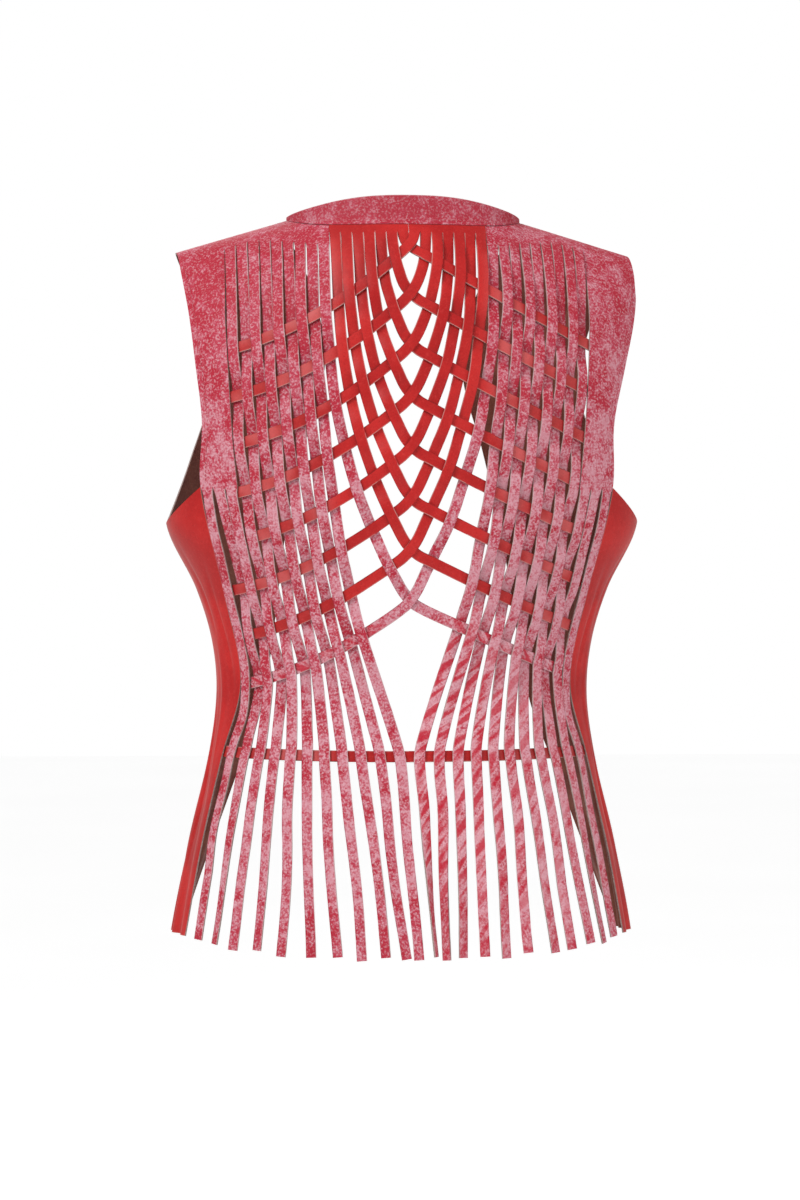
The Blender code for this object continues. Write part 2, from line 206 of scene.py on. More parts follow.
# soft creases of the fronts: place from back seam (0) to open edge (1), top, bottom, depth, width
CREASES = (
    (0.06, -262, -395, -1.5, 0.018),
    (0.13, -300, -470, 1.6, 0.026),
    (0.19, -250, -352, -1.4, 0.020),
    (0.27, -345, -545, -2.5, 0.030),
    (0.36, -410, -565, 2.0, 0.028),
    (0.45, -262, -430, -1.9, 0.034),
    (0.56, -395, -560, -2.4, 0.030),
    (0.63, -255, -338, 1.3, 0.024),
    (0.68, -300, -520, 1.7, 0.032),
    (0.75, -440, -562, -1.8, 0.026),
    (0.82, -258, -402, -1.5, 0.026),
)

# topstitching: how far in from an edge, length of a stitch, spacing and thickness of the thread
STITCH_INSET = 4.2
STITCH_LENGTH = 2.4
STITCH_PITCH = 3.3
THREAD = 0.26
THREAD_SIDES = 6

# gathers beside the stitching: spacing, width and depth
PUCKER_LENGTH = 5.5
PUCKER_WIDTH = 2.2
PUCKER_DEPTH = 0.35

# one stitch: share of its length, thickness, and how far it stands above the leather
STITCH_SHAPE = (
    (0.0, 0.35, -0.22),
    (0.18, 1.0, 0.02),
    (0.5, 1.1, 0.1),
    (0.82, 1.0, 0.02),
    (1.0, 0.35, -0.22),
)

# fold of the neckband's lower edge: radius, and how far out and up it lies
TURNED_RADIUS = 0.75
TURNED_OUT = 0.45
TURNED_UP = 0.2
TURNED_FLAT = 0.8
TURNED_SIDES = 8

# how much of the neckband's length the fold and the stitches take
FOLD_REACH = 0.97
STITCH_REACH = 0.95


def smooth(table, t):
    """Cubic through (t, value) points, with t falling or rising along the table."""
    points = sorted(table)
    if t <= points[0][0]:
        return points[0][1]
    if t >= points[-1][0]:
        return points[-1][1]
    i = max(k for k in range(len(points) - 1) if points[k][0] <= t)
    (t0, a), (t1, b) = points[i], points[i + 1]

    def slope(k):
        low, high = max(k - 1, 0), min(k + 1, len(points) - 1)
        return (points[high][1] - points[low][1]) / (points[high][0] - points[low][0])

    span = t1 - t0
    s = (t - t0) / span
    return (
        (2 * s**3 - 3 * s**2 + 1) * a
        + (s**3 - 2 * s**2 + s) * span * slope(i)
        + (3 * s**2 - 2 * s**3) * b
        + (s**3 - s**2) * span * slope(i + 1)
    )


def ease(share):
    """0 to 1 with soft ends."""
    share = min(max(share, 0.0), 1.0)
    return share * share * (3 - 2 * share)


def column(index):
    return [(row[0], row[index]) for row in FORM]


HALF_WIDTH, BACK_DEPTH, FRONT_DEPTH = column(1), column(2), column(3)


def shoulder_z(x):
    """Height of the line that the back and the front roll up to."""
    out = abs(x)
    if out < NECK_X:
        return NECK_RISE * (1 - (out / NECK_X) ** 2)
    return -TIP_DROP * (out - NECK_X) / (TIP_X - NECK_X)


def neck_z(x):
    return -NECK_DIP * max(0.0, 1 - (x / NECK_X) ** NECK_FLATNESS)


def run_at(x, z):
    """Distance down the leather from the shoulder line to height z."""
    down = max(0.0, shoulder_z(x) - z)
    if down < ROLL:
        return ROLL * math.acos(1 - down / ROLL)
    return ROLL * math.pi / 2 + down - ROLL


def neck_run(x):
    """Distance down the leather of the edge under the neckband, clear of the band's low ends."""
    return run_at(x, neck_z(x)) - BAND_TUCK + max(0.0, x - YOKE_HALF) / BAND_SEAM_SPREAD


def on_form(x, run, back=True):
    """Point of the garment's form, the given distance down from the shoulder line."""
    turn = min(run / ROLL, math.pi / 2)
    down = ROLL * (1 - math.cos(turn)) + max(0.0, run - ROLL * math.pi / 2)
    z = shoulder_z(x) - down
    half = smooth(HALF_WIDTH, z)
    depth = smooth(BACK_DEPTH if back else FRONT_DEPTH, z)
    share = min(abs(x) / half, 1.0)
    y = depth * (1 - share**ROUNDNESS) ** (1 / ROUNDNESS) * math.sin(turn)
    return Vector((x, y if back else -y, z))


def facing(x, run, back=True):
    """Outward direction of the form."""
    step = 0.5
    run = max(run, step)
    across = on_form(x + step, run, back) - on_form(x - step, run, back)
    down = on_form(x, run + step, back) - on_form(x, run - step, back)
    normal = across.cross(down).normalized()
    return normal if normal.y * (1 if back else -1) > 0 or normal.z > 0.7 else -normal


def on_back(x, z, out=0.0):
    run = run_at(x, z)
    return on_form(x, run) + facing(x, run) * out


def back_edge(half, z):
    """How far from the centre the back ends, on the left half (+1) or the right half (-1)."""
    return smooth([(row[0], row[1] if half > 0 else row[2]) for row in BACK_EDGE], z)


def slit_z(x):
    """Height at which the slits of the back half begin."""
    return smooth(SLIT_TOP, x)


def crossing_z(index):
    """Height at which crossing strip 1 to 8 passes the centre."""
    return FIRST_CROSSING - CROSSING_PITCH * (index - 1)


def row_z(half, index, x):
    """Height of a woven row in the left half (+1) or the right (-1), x out from the centre."""
    fall = ROW_FALL[half] - ROW_FALLS_LESS * (index - 1)
    bow = ROW_BOW[half]
    t = x / ROW_REACH
    if t > 1:
        return crossing_z(index) - fall * (1 + (1 - bow) * (t - 1))
    return crossing_z(index) - fall * ((1 - bow) * t + bow * (2 * t - t * t))


def yoke_strip_top(index):
    """Distance from the centre and height at which crossing strip 1 to 8 begins."""
    pitch = YOKE_HALF / YOKE_STRIPS
    if index <= YOKE_STRIPS:
        x = pitch * (index - 0.5)
        return x, neck_z(x) - YOKE_SLIT
    x = YOKE_HALF + STRIP_PITCH / 2
    return x, slit_z(x)


def hem_x(half, j):
    """Distance from the centre of hanging strip 1 to 11 at the hem, wider apart halfway out."""
    out = (j - 1) / (WARPS - 1)
    bunched = 3 * out**2 - 2 * out**3
    share = out + HEM_BUNCHING * (bunched - out)
    return HEM_INNERMOST[half] + (HEM_OUTERMOST - HEM_INNERMOST[half]) * share


def warp_x(half, index, z):
    """Distance from the centre of strip 1 to 8 (crossing) or 9 to 19 (hanging) in its own half."""
    if index <= CROSSING_ROWS:
        x_top, z_top = yoke_strip_top(index)
        t = (z_top - z) / (z_top - crossing_z(index))
        return x_top * (1 - min(max(t, 0.0), 1.0) ** BEND[half])
    j = index - CROSSING_ROWS
    if j == WARPS and z > SEAM_FOLLOWED_TO:
        edge = back_edge(half, z) - SEAM / 2
        return edge - STRIP_WIDTH / 2 * abs(facing(edge - 3, run_at(edge - 3, z)).y)
    top = YOKE_HALF + STRIP_PITCH * (j + 0.5)
    out = (j - 1) / (WARPS - 1)
    held = []
    for level, inner, outer, crowding in FRINGE:
        held.append((level, inner + (outer - inner) * out * (1 + crowding * (1 - out))))
    hem = hem_x(half, j)
    below_belt = held[-1][1] * (1 - HEM_PULL) + hem * HEM_PULL
    straight = [(STRAIGHT_FROM, top), (STRAIGHT_TO, top)]
    return smooth([*straight, *held, (BELOW_BELT, below_belt), (BACK_HEM, hem)], z)


def meeting(half, row, warp):
    """Distance from the centre and height where a row meets a strip of that half."""
    if warp <= CROSSING_ROWS:
        high, low = yoke_strip_top(warp)[1], crossing_z(warp)
    else:
        high, low = FIRST_CROSSING, BELT_Z
    for _ in range(40):
        middle = (high + low) / 2
        if middle > row_z(half, row, warp_x(half, warp, middle)):
            high = middle
        else:
            low = middle
    return warp_x(half, warp, middle), middle


def row_is_over(half, row, warp):
    """Plain weave: where the indexes differ by an even number, the right's strip lies over."""
    even = (row - warp) % 2 == 0
    return even if half > 0 else not even


def crossed(row):
    """Strips that a row meets on its way out, the last of which covers its end."""
    last = CROSSING_ROWS + FREE_WARPS + 1 if row <= UPPER_ROWS else CROSSING_ROWS + WARPS
    return list(range(row + 1, last + 1))


def row_level(half, row, warp):
    """How far out the row lies at a strip: parted at the centre, sunk towards its covered end."""
    left = crossed(row)[-1] - warp
    if left < len(SUNK):
        return -OVER * SUNK[left]
    return half * CENTRE_PART * 0.7 if warp == row + 1 else 0.0


def meeting_reach(half, row, warp):
    """Half of the strip's run that the row takes up."""
    x, z = meeting(half, row, warp)
    down = math.atan2(warp_x(half, warp, z + 2) - warp_x(half, warp, z - 2), 4)
    fall = math.atan2(row_z(half, row, max(x - 2, 0)) - row_z(half, row, x + 2), 4)
    angle = math.pi / 2 - fall + down
    angle = min(max(angle, 0.7), math.pi - 0.7)
    return STRIP_WIDTH / 2 * (1 / math.sin(angle) + abs(1 / math.tan(angle))) + 0.8


def own_half(half, index):
    """Stations of a strip through the rows that it meets in its own half."""
    stations = []
    for row in range(1, min(index, CROSSING_ROWS + 1)):
        if index not in crossed(row):
            continue
        z = meeting(half, row, index)[1]
        side = -1 if row_is_over(half, row, index) else 1
        out = row_level(half, row, index) + side * OVER
        if index == crossed(row)[-1]:
            out = 0.0
        reach = meeting_reach(half, row, index)
        for level in (z + reach, z - reach):
            stations.append((half * warp_x(half, index, level), level, out))
    return stations


def row_stations(half, row):
    """Stations of a row from the centre out through the other half to its covered end."""
    stations = []
    for warp in crossed(row):
        x, z = meeting(half, row, warp)
        stations.append((half * x, z, row_level(half, row, warp)))
    last = crossed(row)[-1]
    x = meeting(half, row, last)[0] + (UPPER_END if row <= UPPER_ROWS else LOWER_END)
    stations.append((half * x, row_z(half, row, x), -COVERED * OVER))
    return stations


def crossing_stations(side, index):
    """Whole way of a strip that begins on one side and ends in the other half."""
    x_top, z_top = yoke_strip_top(index)
    centre = crossing_z(index)
    out = -side * CENTRE_PART
    stations = own_half(side, index)
    reach = CENTRE_REACH if index > 1 else FIRST_REACH
    level = centre + reach
    stations.append((side * warp_x(side, index, level), level, out))
    if index == 1:
        stations.insert(0, (side * (x_top + FIRST_SHIFT), z_top - 2.4, out))
    after = reach * 0.75
    stations.append((-side * after, row_z(-side, index, after), out))
    stations += row_stations(-side, index)
    return stations


def hem_z(side, index):
    x = abs(warp_x(side, index, BACK_HEM))
    wander = HEM_WANDER * math.sin(2.4 * index + side)
    return BACK_HEM + HEM_RISE * (x / HEM_OUTERMOST) ** 3 + wander


def fringe_stations(side, index):
    """A hanging strip: through the rows, over the belt strip and down to the hem."""
    lift = HEM_LIFT if index % 3 == 2 else 0.0
    if index < CROSSING_ROWS + WARPS:
        opened = slit_z(warp_x(side, index, STRAIGHT_FROM)) - 7
        free = []
        if index <= CROSSING_ROWS + FREE_WARPS:
            free = [(side * warp_x(side, index, opened), opened, 0.0)]
        stations = free + own_half(side, index)
    else:
        levels = [SEAM_TOP + (SIDE_HEM - SEAM_TOP) * r / SIDE_ROWS for r in range(1, 7)]
        stations = [(side * warp_x(side, index, level), level, 0.0) for level in levels]
    hem = hem_z(side, index)
    levels = ((BELT_Z + 9, 0), (BELT_Z - 7, 0), (BELOW_BELT, 0.3), (ABOVE_HEM, 0.7), (hem, 1))
    for level, share in levels:
        stations.append((side * warp_x(side, index, level), level, share * lift))
    return stations


class Sheet:
    """One open surface of leather: points, faces, and the marks of each point."""

    def __init__(self):
        self.points = []
        self.faces = []
        self.marks = {key: [] for key in MARKS}

    def add(self, point, **marks):
        self.points.append(point)
        for key in MARKS:
            self.marks[key].append(marks.get(key, 0.0))
        return len(self.points) - 1

    def rows(self, rows):
        """Faces between rows of point numbers, from the top down, each running towards +X."""
        for upper, lower in zip(rows, rows[1:]):
            for a, b, c, d in zip(upper, upper[1:], lower[1:], lower):
                self.faces.append((a, b, c, d))


def fine_path(stations):
    """A smooth line through (x, z, out) stations, in short steps, with distances along it."""
    lengths = [0.0]
    for (x0, z0, _), (x1, z1, _) in zip(stations, stations[1:]):
        lengths.append(lengths[-1] + math.hypot(x1 - x0, z1 - z0))
    xs = [(length, s[0]) for length, s in zip(lengths, stations)]
    zs = [(length, s[1]) for length, s in zip(lengths, stations)]
    count = max(2, round(lengths[-1] / ALONG_STRIP))
    path = []
    for n in range(count + 1):
        along = lengths[-1] * n / count
        i = max(k for k in range(len(lengths) - 1) if lengths[k] <= along + 1e-9)
        share = (along - lengths[i]) / (lengths[i + 1] - lengths[i])
        out = stations[i][2] + (stations[i + 1][2] - stations[i][2]) * ease(share)
        path.append((smooth(xs, along), smooth(zs, along), out, along))
    return path


def uneven(seed, along, reach):
    """Slow wander between -1 and 1 along a strip."""
    return noise.noise(Vector((along / reach, seed * 7.3, 1.7)))


def hung_freely(seed, x, z, out, along):
    """A place on a strip's path, moved a little aside and outwards below the belt."""
    free = ease((BELT_Z - 12 - z) / 60)
    aside = HANG_ASIDE * uneven(seed + 3, along, ASIDE_WAVE) * free
    lift = HANG_OUT * abs(uneven(seed + 8, along, OUT_WAVE)) * free
    return x + aside, z, out + lift, along


def add_strip(sheet, ends, stations, seed, turn_at=None, torn_at=None):
    """Hangs a strip from a row of the sheet's points, with an uneven cut, a crown and a turn."""
    middle = sum((sheet.points[i] for i in ends), Vector()) / len(ends)
    path = fine_path([(middle.x, middle.z, 0.0)] + stations)
    if turn_at:
        path = [hung_freely(seed, *place) for place in path]
    centres = [on_back(x, z, out) for x, z, out, _ in path]
    offsets = None
    rows = [ends]
    for i, (x, z, out, along) in enumerate(path):
        direction = centres[min(i + 1, len(centres) - 1)] - centres[max(i - 1, 0)]
        normal = facing(x, run_at(x, z))
        side = normal.cross(direction).normalized()
        rise = direction.cross(side).normalized()
        if rise.dot(normal) < 0:
            rise = -rise
        turn = math.radians(turn_at(z)) if turn_at else 0.0
        across = side * math.cos(turn) + rise * math.sin(turn)
        lifted = rise * math.cos(turn) - side * math.sin(turn)
        slimmer = END_SLIMMER * ease((BELT_Z - z) / 110)
        slimmer += UNEVEN_CUT * abs(uneven(seed, along, CUT_WAVE))
        width = STRIP_WIDTH * (FULL_WIDTH - slimmer)
        torn = torn_at(z) if torn_at else 0.0
        placed = []
        for k in range(ACROSS_STRIP + 1):
            share = 1 - 2 * k / ACROSS_STRIP
            crown = STRIP_CROWN * (1 - share * share)
            placed.append((centres[i] + across * share * width / 2 + lifted * crown, share))
        if offsets is None:
            offsets = [sheet.points[number] - point for number, (point, _) in zip(ends, placed)]
            continue
        hold = max(0.0, 1 - along / HELD_LENGTH) ** 2
        row = []
        for (point, share), offset in zip(placed, offsets):
            place = along + STRIPS_APART * seed
            held = point + offset * hold
            row.append(sheet.add(held, torn=torn, along=place, across=share))
        rows.append(row)
    sheet.rows(rows)


def in_order(side, numbers):
    """Point numbers counted out from the centre, turned to run towards +X."""
    return numbers if side > 0 else numbers[::-1]


def strip_ends(side, row, count):
    """The row's points shared out to strips, nearest the centre first, each running towards +X."""
    outwards = row if side > 0 else row[::-1]
    found = []
    for i in range(count):
        part = outwards[i * ACROSS_STRIP:(i + 1) * ACROSS_STRIP + 1]
        found.append(part if side > 0 else part[::-1])
    return found


def between(cuts, parts):
    """Each stretch between cuts divided into parts."""
    values = []
    for a, b in zip(cuts, cuts[1:]):
        values += [a + (b - a) * k / parts for k in range(parts)]
    return values + [cuts[-1]]


def make_piece(node, sheet, face):
    """A sheet given the leather's thickness, flesh side and cut edges, in place of its solid."""
    name = node + "_leather"
    mesh = bpy.data.meshes.new(name + "_surface")
    mesh.from_pydata([tuple(point * MM) for point in sheet.points], [], sheet.faces)
    for key, values in sheet.marks.items():
        mesh.attributes.new(key, "FLOAT", "POINT").data.foreach_set("value", values)
    for material in (face, flesh_side, cut_edge):
        mesh.materials.append(material)
    piece = bpy.data.objects.new(name, mesh)
    bpy.context.scene.collection.objects.link(piece)
    wall = piece.modifiers.new("leather", "SOLIDIFY")
    wall.thickness = LEATHER * MM
    wall.offset = 0
    wall.material_offset = 1
    wall.material_offset_rim = 2
    thick = piece.evaluated_get(bpy.context.evaluated_depsgraph_get())
    settled = bpy.data.meshes.new_from_object(thick)
    piece.modifiers.clear()
    settled.shade_smooth()
    settled.set_sharp_from_angle(angle=math.radians(48))
    piece.data = settled
    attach(piece, "root")
    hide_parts(node)
    return piece


def yoke(side, word):
    """Half of the yoke: smooth leather cut into seven strips just below the neckband."""
    sheet = Sheet()
    pitch = YOKE_HALF / YOKE_STRIPS
    cuts = [SEAM / 2] + [pitch * i for i in range(1, YOKE_STRIPS)] + [YOKE_HALF - SEAM / 2]
    rows = []
    for n in range(YOKE_STEPS + 1):
        numbers = []
        for x in between(cuts, ACROSS_STRIP):
            top = neck_run(x)
            run = top + (run_at(x, neck_z(x) - YOKE_SLIT) - top) * n / YOKE_STEPS
            # the top row takes the painted shadow under the neckband's fold
            numbers.append(sheet.add(on_form(side * x, run), seam=float(n == 0)))
        rows.append(in_order(side, numbers))
    sheet.rows(rows)
    for i, ends in enumerate(strip_ends(side, rows[-1], YOKE_STRIPS)):
        add_strip(sheet, ends, crossing_stations(side, i + 1), 3 * i + side)
    return make_piece(f"yoke_{word}", sheet, smooth_red)


def free_turn(side, j):
    """How a hanging strip turns about its length: a little above the belt, more at its end."""
    end = END_TURN[side][j - 1]

    def turn(z):
        above = 0.35 * ease((-350 - z) / 40) * ease((z - (BELT_Z + 12)) / 25)
        below = ease((BELT_Z - 14 - z) / 120)
        return end * (below - above)

    return turn


def torn_below(side, j):
    """Where patches of the frosted finish are torn off: right hanging strips, below the weave."""
    if side > 0:
        return None
    amount = 1.0 if j <= 4 else max(0.35, 1.0 - 0.12 * (j - 4))
    top = -268 - 9 * j
    return lambda z: ease((top - z) / 70) * amount * (1 - 0.45 * ease((-500 - z) / 70))


def torn_row(z):
    """Torn finish on the lowest woven row."""
    return ease((TORN_ROW_FROM - z) / 20)


def pucker(along, inset):
    """Small gathers beside a line of topstitching."""
    wave = noise.noise(Vector((along / PUCKER_LENGTH, 3.1, 0.4)))
    near = math.exp(-((inset - STITCH_INSET) / PUCKER_WIDTH) ** 2)
    return -PUCKER_DEPTH * near * (0.6 + wave)


def back_half(side, word):
    """Back half of frosted leather: shoulder, armhole band, one crossing strip, eleven hanging."""
    sheet = Sheet()
    parts = WARPS - FREE_WARPS
    cuts = [YOKE_HALF + SEAM / 2] + [YOKE_HALF + STRIP_PITCH * i for i in range(1, FREE_WARPS + 2)]
    inner = between(cuts, ACROSS_STRIP)

    def band_places(start, z):
        edge = back_edge(side, z)
        return between([start + (edge - start) * k / parts for k in range(parts + 1)], ACROSS_STRIP)

    rows = []
    for n in range(SHOULDER_STEPS + 1):
        share = n / SHOULDER_STEPS
        z = shoulder_z(TIP_X) + share * (slit_z(TIP_X) - shoulder_z(TIP_X))
        numbers = []
        for x in inner + band_places(cuts[-1], z)[1:]:
            top = neck_run(x) if x < NECK_X else 0.0
            point = on_form(side * x, top + share * (run_at(x, slit_z(x)) - top))
            point.y = max(point.y, SEAM / 2)
            # the top row takes the painted shadow under the neckband and along the shoulders
            numbers.append(sheet.add(point, seam=float(n == 0)))
        rows.append(in_order(side, numbers))
    sheet.rows(rows)

    levels = [BAND_TOP + (SEAM_TOP - BAND_TOP) * k / BAND_STEPS for k in range(BAND_STEPS + 1)]
    starts = []
    for z in levels:
        free = warp_x(side, CROSSING_ROWS + FREE_WARPS, z) + STRIP_PITCH / 2 + 0.3
        starts.append((z, cuts[-1] if z > STRAIGHT_TO else free))
    wide = parts * ACROSS_STRIP + 1
    band = [rows[-1][-wide:] if side > 0 else rows[-1][:wide]]
    count = round((BAND_TOP - SEAM_TOP) / PANEL_STEP)
    for n in range(count + 1):
        z = BAND_TOP + (SEAM_TOP - BAND_TOP) * n / count
        numbers = []
        for x in band_places(smooth(starts, z), z):
            inset = back_edge(side, z) - x
            numbers.append(sheet.add(on_back(side * x, z, pucker(z, inset))))
        band.append(in_order(side, numbers))
    sheet.rows(band)

    ends = strip_ends(side, rows[-1], FREE_WARPS + 1) + strip_ends(side, band[-1], parts)
    add_strip(sheet, ends[0], crossing_stations(side, CROSSING_ROWS), 40 + side, None, torn_row)
    for j in range(1, WARPS + 1):
        stations = fringe_stations(side, CROSSING_ROWS + j)
        free = stations if j <= FREE_WARPS else [s for s in stations if s[1] < SEAM_TOP - 4]
        add_strip(sheet, ends[j], free, 50 + 5 * j + side, free_turn(side, j), torn_below(side, j))
    return make_piece(f"back_{word}", sheet, frosted_red)


def section_points(z, x_back, x_front, side_columns, front_columns):
    """Points round one level, from the back edge over the side to the front edge."""
    half = smooth(HALF_WIDTH, z)

    def arc(x_end, depth, sign, count):
        stop = math.acos(min(x_end / half, 1.0) ** (ROUNDNESS / 2))
        fine = []
        for i in range(81):
            turn = stop * (i / 80) ** 1.5
            x = half * math.cos(turn) ** (2 / ROUNDNESS)
            fine.append(Vector((x, sign * depth * math.sin(turn) ** (2 / ROUNDNESS), z)))
        lengths = [0.0]
        for a, b in zip(fine, fine[1:]):
            lengths.append(lengths[-1] + (b - a).length)
        found = []
        for k in range(count + 1):
            want = lengths[-1] * k / count
            i = max(n for n in range(80) if lengths[n] <= want)
            part = (want - lengths[i]) / (lengths[i + 1] - lengths[i])
            found.append(fine[i].lerp(fine[i + 1], part))
        return found

    back = arc(x_back, smooth(BACK_DEPTH, z), 1, side_columns)
    front = arc(x_front, smooth(FRONT_DEPTH, z), -1, front_columns)
    return back[::-1] + front[1:]


def crease(place, z):
    """How far the soft creases lift or sink the leather at a place of the front."""
    moved = 0.0
    for centre, top, bottom, depth, width in CREASES:
        if not bottom < z < top:
            continue
        length = (top - z) / (top - bottom)
        drift = centre + 0.03 * math.sin(3.2 * length + 9 * centre)
        near = math.exp(-((place - drift) / width) ** 2)
        moved += depth * math.sin(math.pi * length) ** 1.3 * near
    return moved


def front(side, word):
    """Plain front of smooth leather with its side, from the back seam to the open front edge."""
    corner = SIDE_COLUMNS * FRONT_FINE
    ahead = FRONT_COLUMNS * FRONT_FINE
    columns = SIDE_COLUMNS + FRONT_COLUMNS
    sheet = Sheet()

    def placed(point):
        return Vector((side * point.x, point.y, point.z))

    def folded(point, column, share_down):
        flare = max(0.0, share_down - FLARE_FROM) * HEM_FLARE
        wave = math.sin(math.pi * column / columns) * math.sin(2.1 * column + 0.8)
        out = Vector((point.x, point.y, 0)).normalized()
        return point + out * (flare * wave + crease(column / columns, point.z))

    level_rows = []
    count = SIDE_ROWS * LEVELS_FINE
    for r in range(count + 1):
        share = r / count
        numbers = []
        for c in range(corner + ahead + 1):
            column = c / FRONT_FINE
            towards = min(column / SIDE_COLUMNS, 1.0)
            top = SEAM_TOP + (UNDERARM - SEAM_TOP) * math.sin(towards * math.pi / 2)
            z = top + (SIDE_HEM - top) * share
            if c <= corner:
                seam = back_edge(side, z) + SEAM_TO_FRONT
                points = section_points(z, seam, smooth(FRONT_EDGE, z), corner, ahead)
            at_edge = float(c in (0, corner + ahead) or r == count)
            numbers.append(sheet.add(placed(folded(points[c], column, share)), edge=at_edge))
        level_rows.append(numbers)

    open_edge = smooth(FRONT_EDGE, UNDERARM)
    at_underarm = section_points(UNDERARM, 160, open_edge, corner, ahead)[corner:]
    first, last = at_underarm[0].x, at_underarm[-1].x
    fractions = [(first - p.x) / (first - last) for p in at_underarm]
    upper = []
    for n in range(ARMHOLE_STEPS):
        share = n / ARMHOLE_STEPS
        numbers = []
        for fraction in fractions:
            # the place down the form and its height depend on each other, so they close in
            x, z = 130.0, -100.0
            for _ in range(6):
                outer = smooth(ARMHOLE_FRONT, z)
                x = outer + (smooth(FRONT_EDGE, z) - outer) * fraction
                point = on_form(x, share * run_at(x, UNDERARM), back=False)
                z = point.z
            point.y = min(point.y, -SEAM / 2)
            at_edge = float(fraction in (fractions[0], fractions[-1]))
            numbers.append(sheet.add(placed(point), edge=at_edge))
        upper.append(numbers)
    upper.append(level_rows[0][corner:])
    for rows in (upper, level_rows):
        sheet.rows([in_order(side, numbers) for numbers in rows])
    return make_piece(f"front_{word}", sheet, smooth_red)


def band_point(x, share):
    """Point of the standing neckband, from its seam (0) to its top edge (1)."""
    run = run_at(x, neck_z(x))
    base = on_form(x, run)
    rise = (on_form(x, max(run - 1, 0.0)) - on_form(x, run + 1)).normalized()
    lean = (rise * BAND_LEAN + Vector((0, 0, 1))).normalized()
    height = BAND_LOW + (BAND_HIGH - BAND_LOW) * (1 - (abs(x) / NECK_X) ** BAND_ROUND) ** BAND_TAPER
    return base + rise * BAND_SEAM + lean * share * height


def neckband():
    """Standing band of frosted leather round the back of the neck."""
    sheet = Sheet()
    columns, steps = 150, 9
    rows = []
    for n in range(steps + 1):
        numbers = []
        for c in range(columns + 1):
            x = NECK_X * BAND_ENDS * math.sin(math.pi / 2 * (2 * c / columns - 1))
            share = n / steps
            numbers.append(sheet.add(band_point(x, share), edge=float(n in (0, steps))))
        rows.append(numbers)
    sheet.rows(rows[::-1])
    return make_piece("neckband", sheet, frosted_red)


def turned_edge():
    """Rounded fold along the neckband's lower edge, where it is sewn on."""
    rings = []
    columns = 180
    for c in range(columns + 1):
        x = NECK_X * FOLD_REACH * math.sin(math.pi / 2 * (2 * c / columns - 1))
        centre = band_point(x, 0.0)
        along = (band_point(x + 0.4, 0.0) - band_point(x - 0.4, 0.0)).normalized()
        up = (band_point(x, 0.1) - centre).normalized()
        out = along.cross(up).normalized()
        out = out if out.dot(Vector((x, 40.0, 0.0))) > 0 else -out
        centre = centre + out * TURNED_OUT + up * TURNED_UP
        rings.append(ring(centre, out * TURNED_FLAT, up, TURNED_RADIUS, TURNED_SIDES))
    return round_piece("neckband_turned_edge", [rings], frosted_red)


def belt():
    """One level strip of smooth leather behind the fringe, from side seam to side seam."""
    sheet = Sheet()
    count = 96
    rows = []
    for i in range(count + 1):
        x = BELT_END * (1 - 2 * i / count)
        sag = -BELT_SAG * (1 - (x / BELT_END) ** 2)
        z = BELT_Z + 2 + sag
        row = []
        for k in range(ACROSS_STRIP + 1):
            share = 1 - 2 * k / ACROSS_STRIP
            level = z + share * BELT_HEIGHT / 2
            row.append(sheet.add(on_back(x, level, -OVER), along=i * 3.0, across=share))
        rows.append(row)
    sheet.rows(rows)
    return make_piece("belt_strip", sheet, smooth_red)


def ring(centre, across, up, radius, sides):
    """Points round one place of a thread or a fold."""
    angles = [2 * math.pi * k / sides for k in range(sides)]
    return [centre + (across * math.cos(a) + up * math.sin(a)) * radius for a in angles]


def round_piece(name, tubes, material):
    """A small piece of closed round forms, each a row of rings."""
    vertices, faces = [], []
    for rings in tubes:
        first, sides = len(vertices), len(rings[0])
        for n, points in enumerate(rings):
            low, high = first + n * sides, first + (n + 1) * sides
            vertices += points
            if n < len(rings) - 1:
                for k in range(sides):
                    turn = (k + 1) % sides
                    faces.append((low + k, low + turn, high + turn, high + k))
        faces.append(tuple(first + k for k in reversed(range(sides))))
        faces.append(tuple(low + k for k in range(sides)))
    mesh = bpy.data.meshes.new(name)
    mesh.from_pydata([tuple(point * MM) for point in vertices], [], faces)
    mesh.shade_smooth()
    mesh.materials.append(material)
    piece = bpy.data.objects.new(name, mesh)
    bpy.context.scene.collection.objects.link(piece)
    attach(piece, "root")
    return piece


def stitch_line(points, normals, name):
    """Thread stitches along a line that lies on the leather."""
    lengths = [0.0]
    for a, b in zip(points, points[1:]):
        lengths.append(lengths[-1] + (b - a).length)

    def at(want):
        i = max(k for k in range(len(lengths) - 1) if lengths[k] <= want + 1e-9)
        share = (want - lengths[i]) / max(lengths[i + 1] - lengths[i], 1e-9)
        normal = normals[i].lerp(normals[i + 1], share).normalized()
        return points[i].lerp(points[i + 1], share), normal

    stitches = []
    start = STITCH_PITCH / 2
    while start + STITCH_LENGTH < lengths[-1]:
        (a, up), (b, _) = at(start), at(start + STITCH_LENGTH)
        across = (b - a).normalized().cross(up).normalized()
        stitches.append([
            ring(a.lerp(b, share) + up * lift, across, up, THREAD * girth, THREAD_SIDES)
            for share, girth, lift in STITCH_SHAPE
        ])
        start += STITCH_PITCH
    return round_piece(name, stitches, thread)


def edge_stitches(name, side, distance_at, top, bottom, count, back=False, lift=0.02):
    """Topstitching down the form, at a distance from the centre that follows an edge."""
    points, normals = [], []
    for n in range(count):
        z = top + (bottom - top) * n / (count - 1)
        x = side * distance_at(z)
        run = run_at(x, z)
        normals.append(facing(x, run, back))
        points.append(on_form(x, run, back) + normals[-1] * (LEATHER / 2 + lift))
    return stitch_line(points, normals, name)


def back_armhole_stitches(side, word):
    return edge_stitches(
        f"armhole_stitches_back_{word}", side,
        lambda z: back_edge(side, z) - STITCH_INSET, -34, SEAM_TOP + 3, 90, back=True,
    )


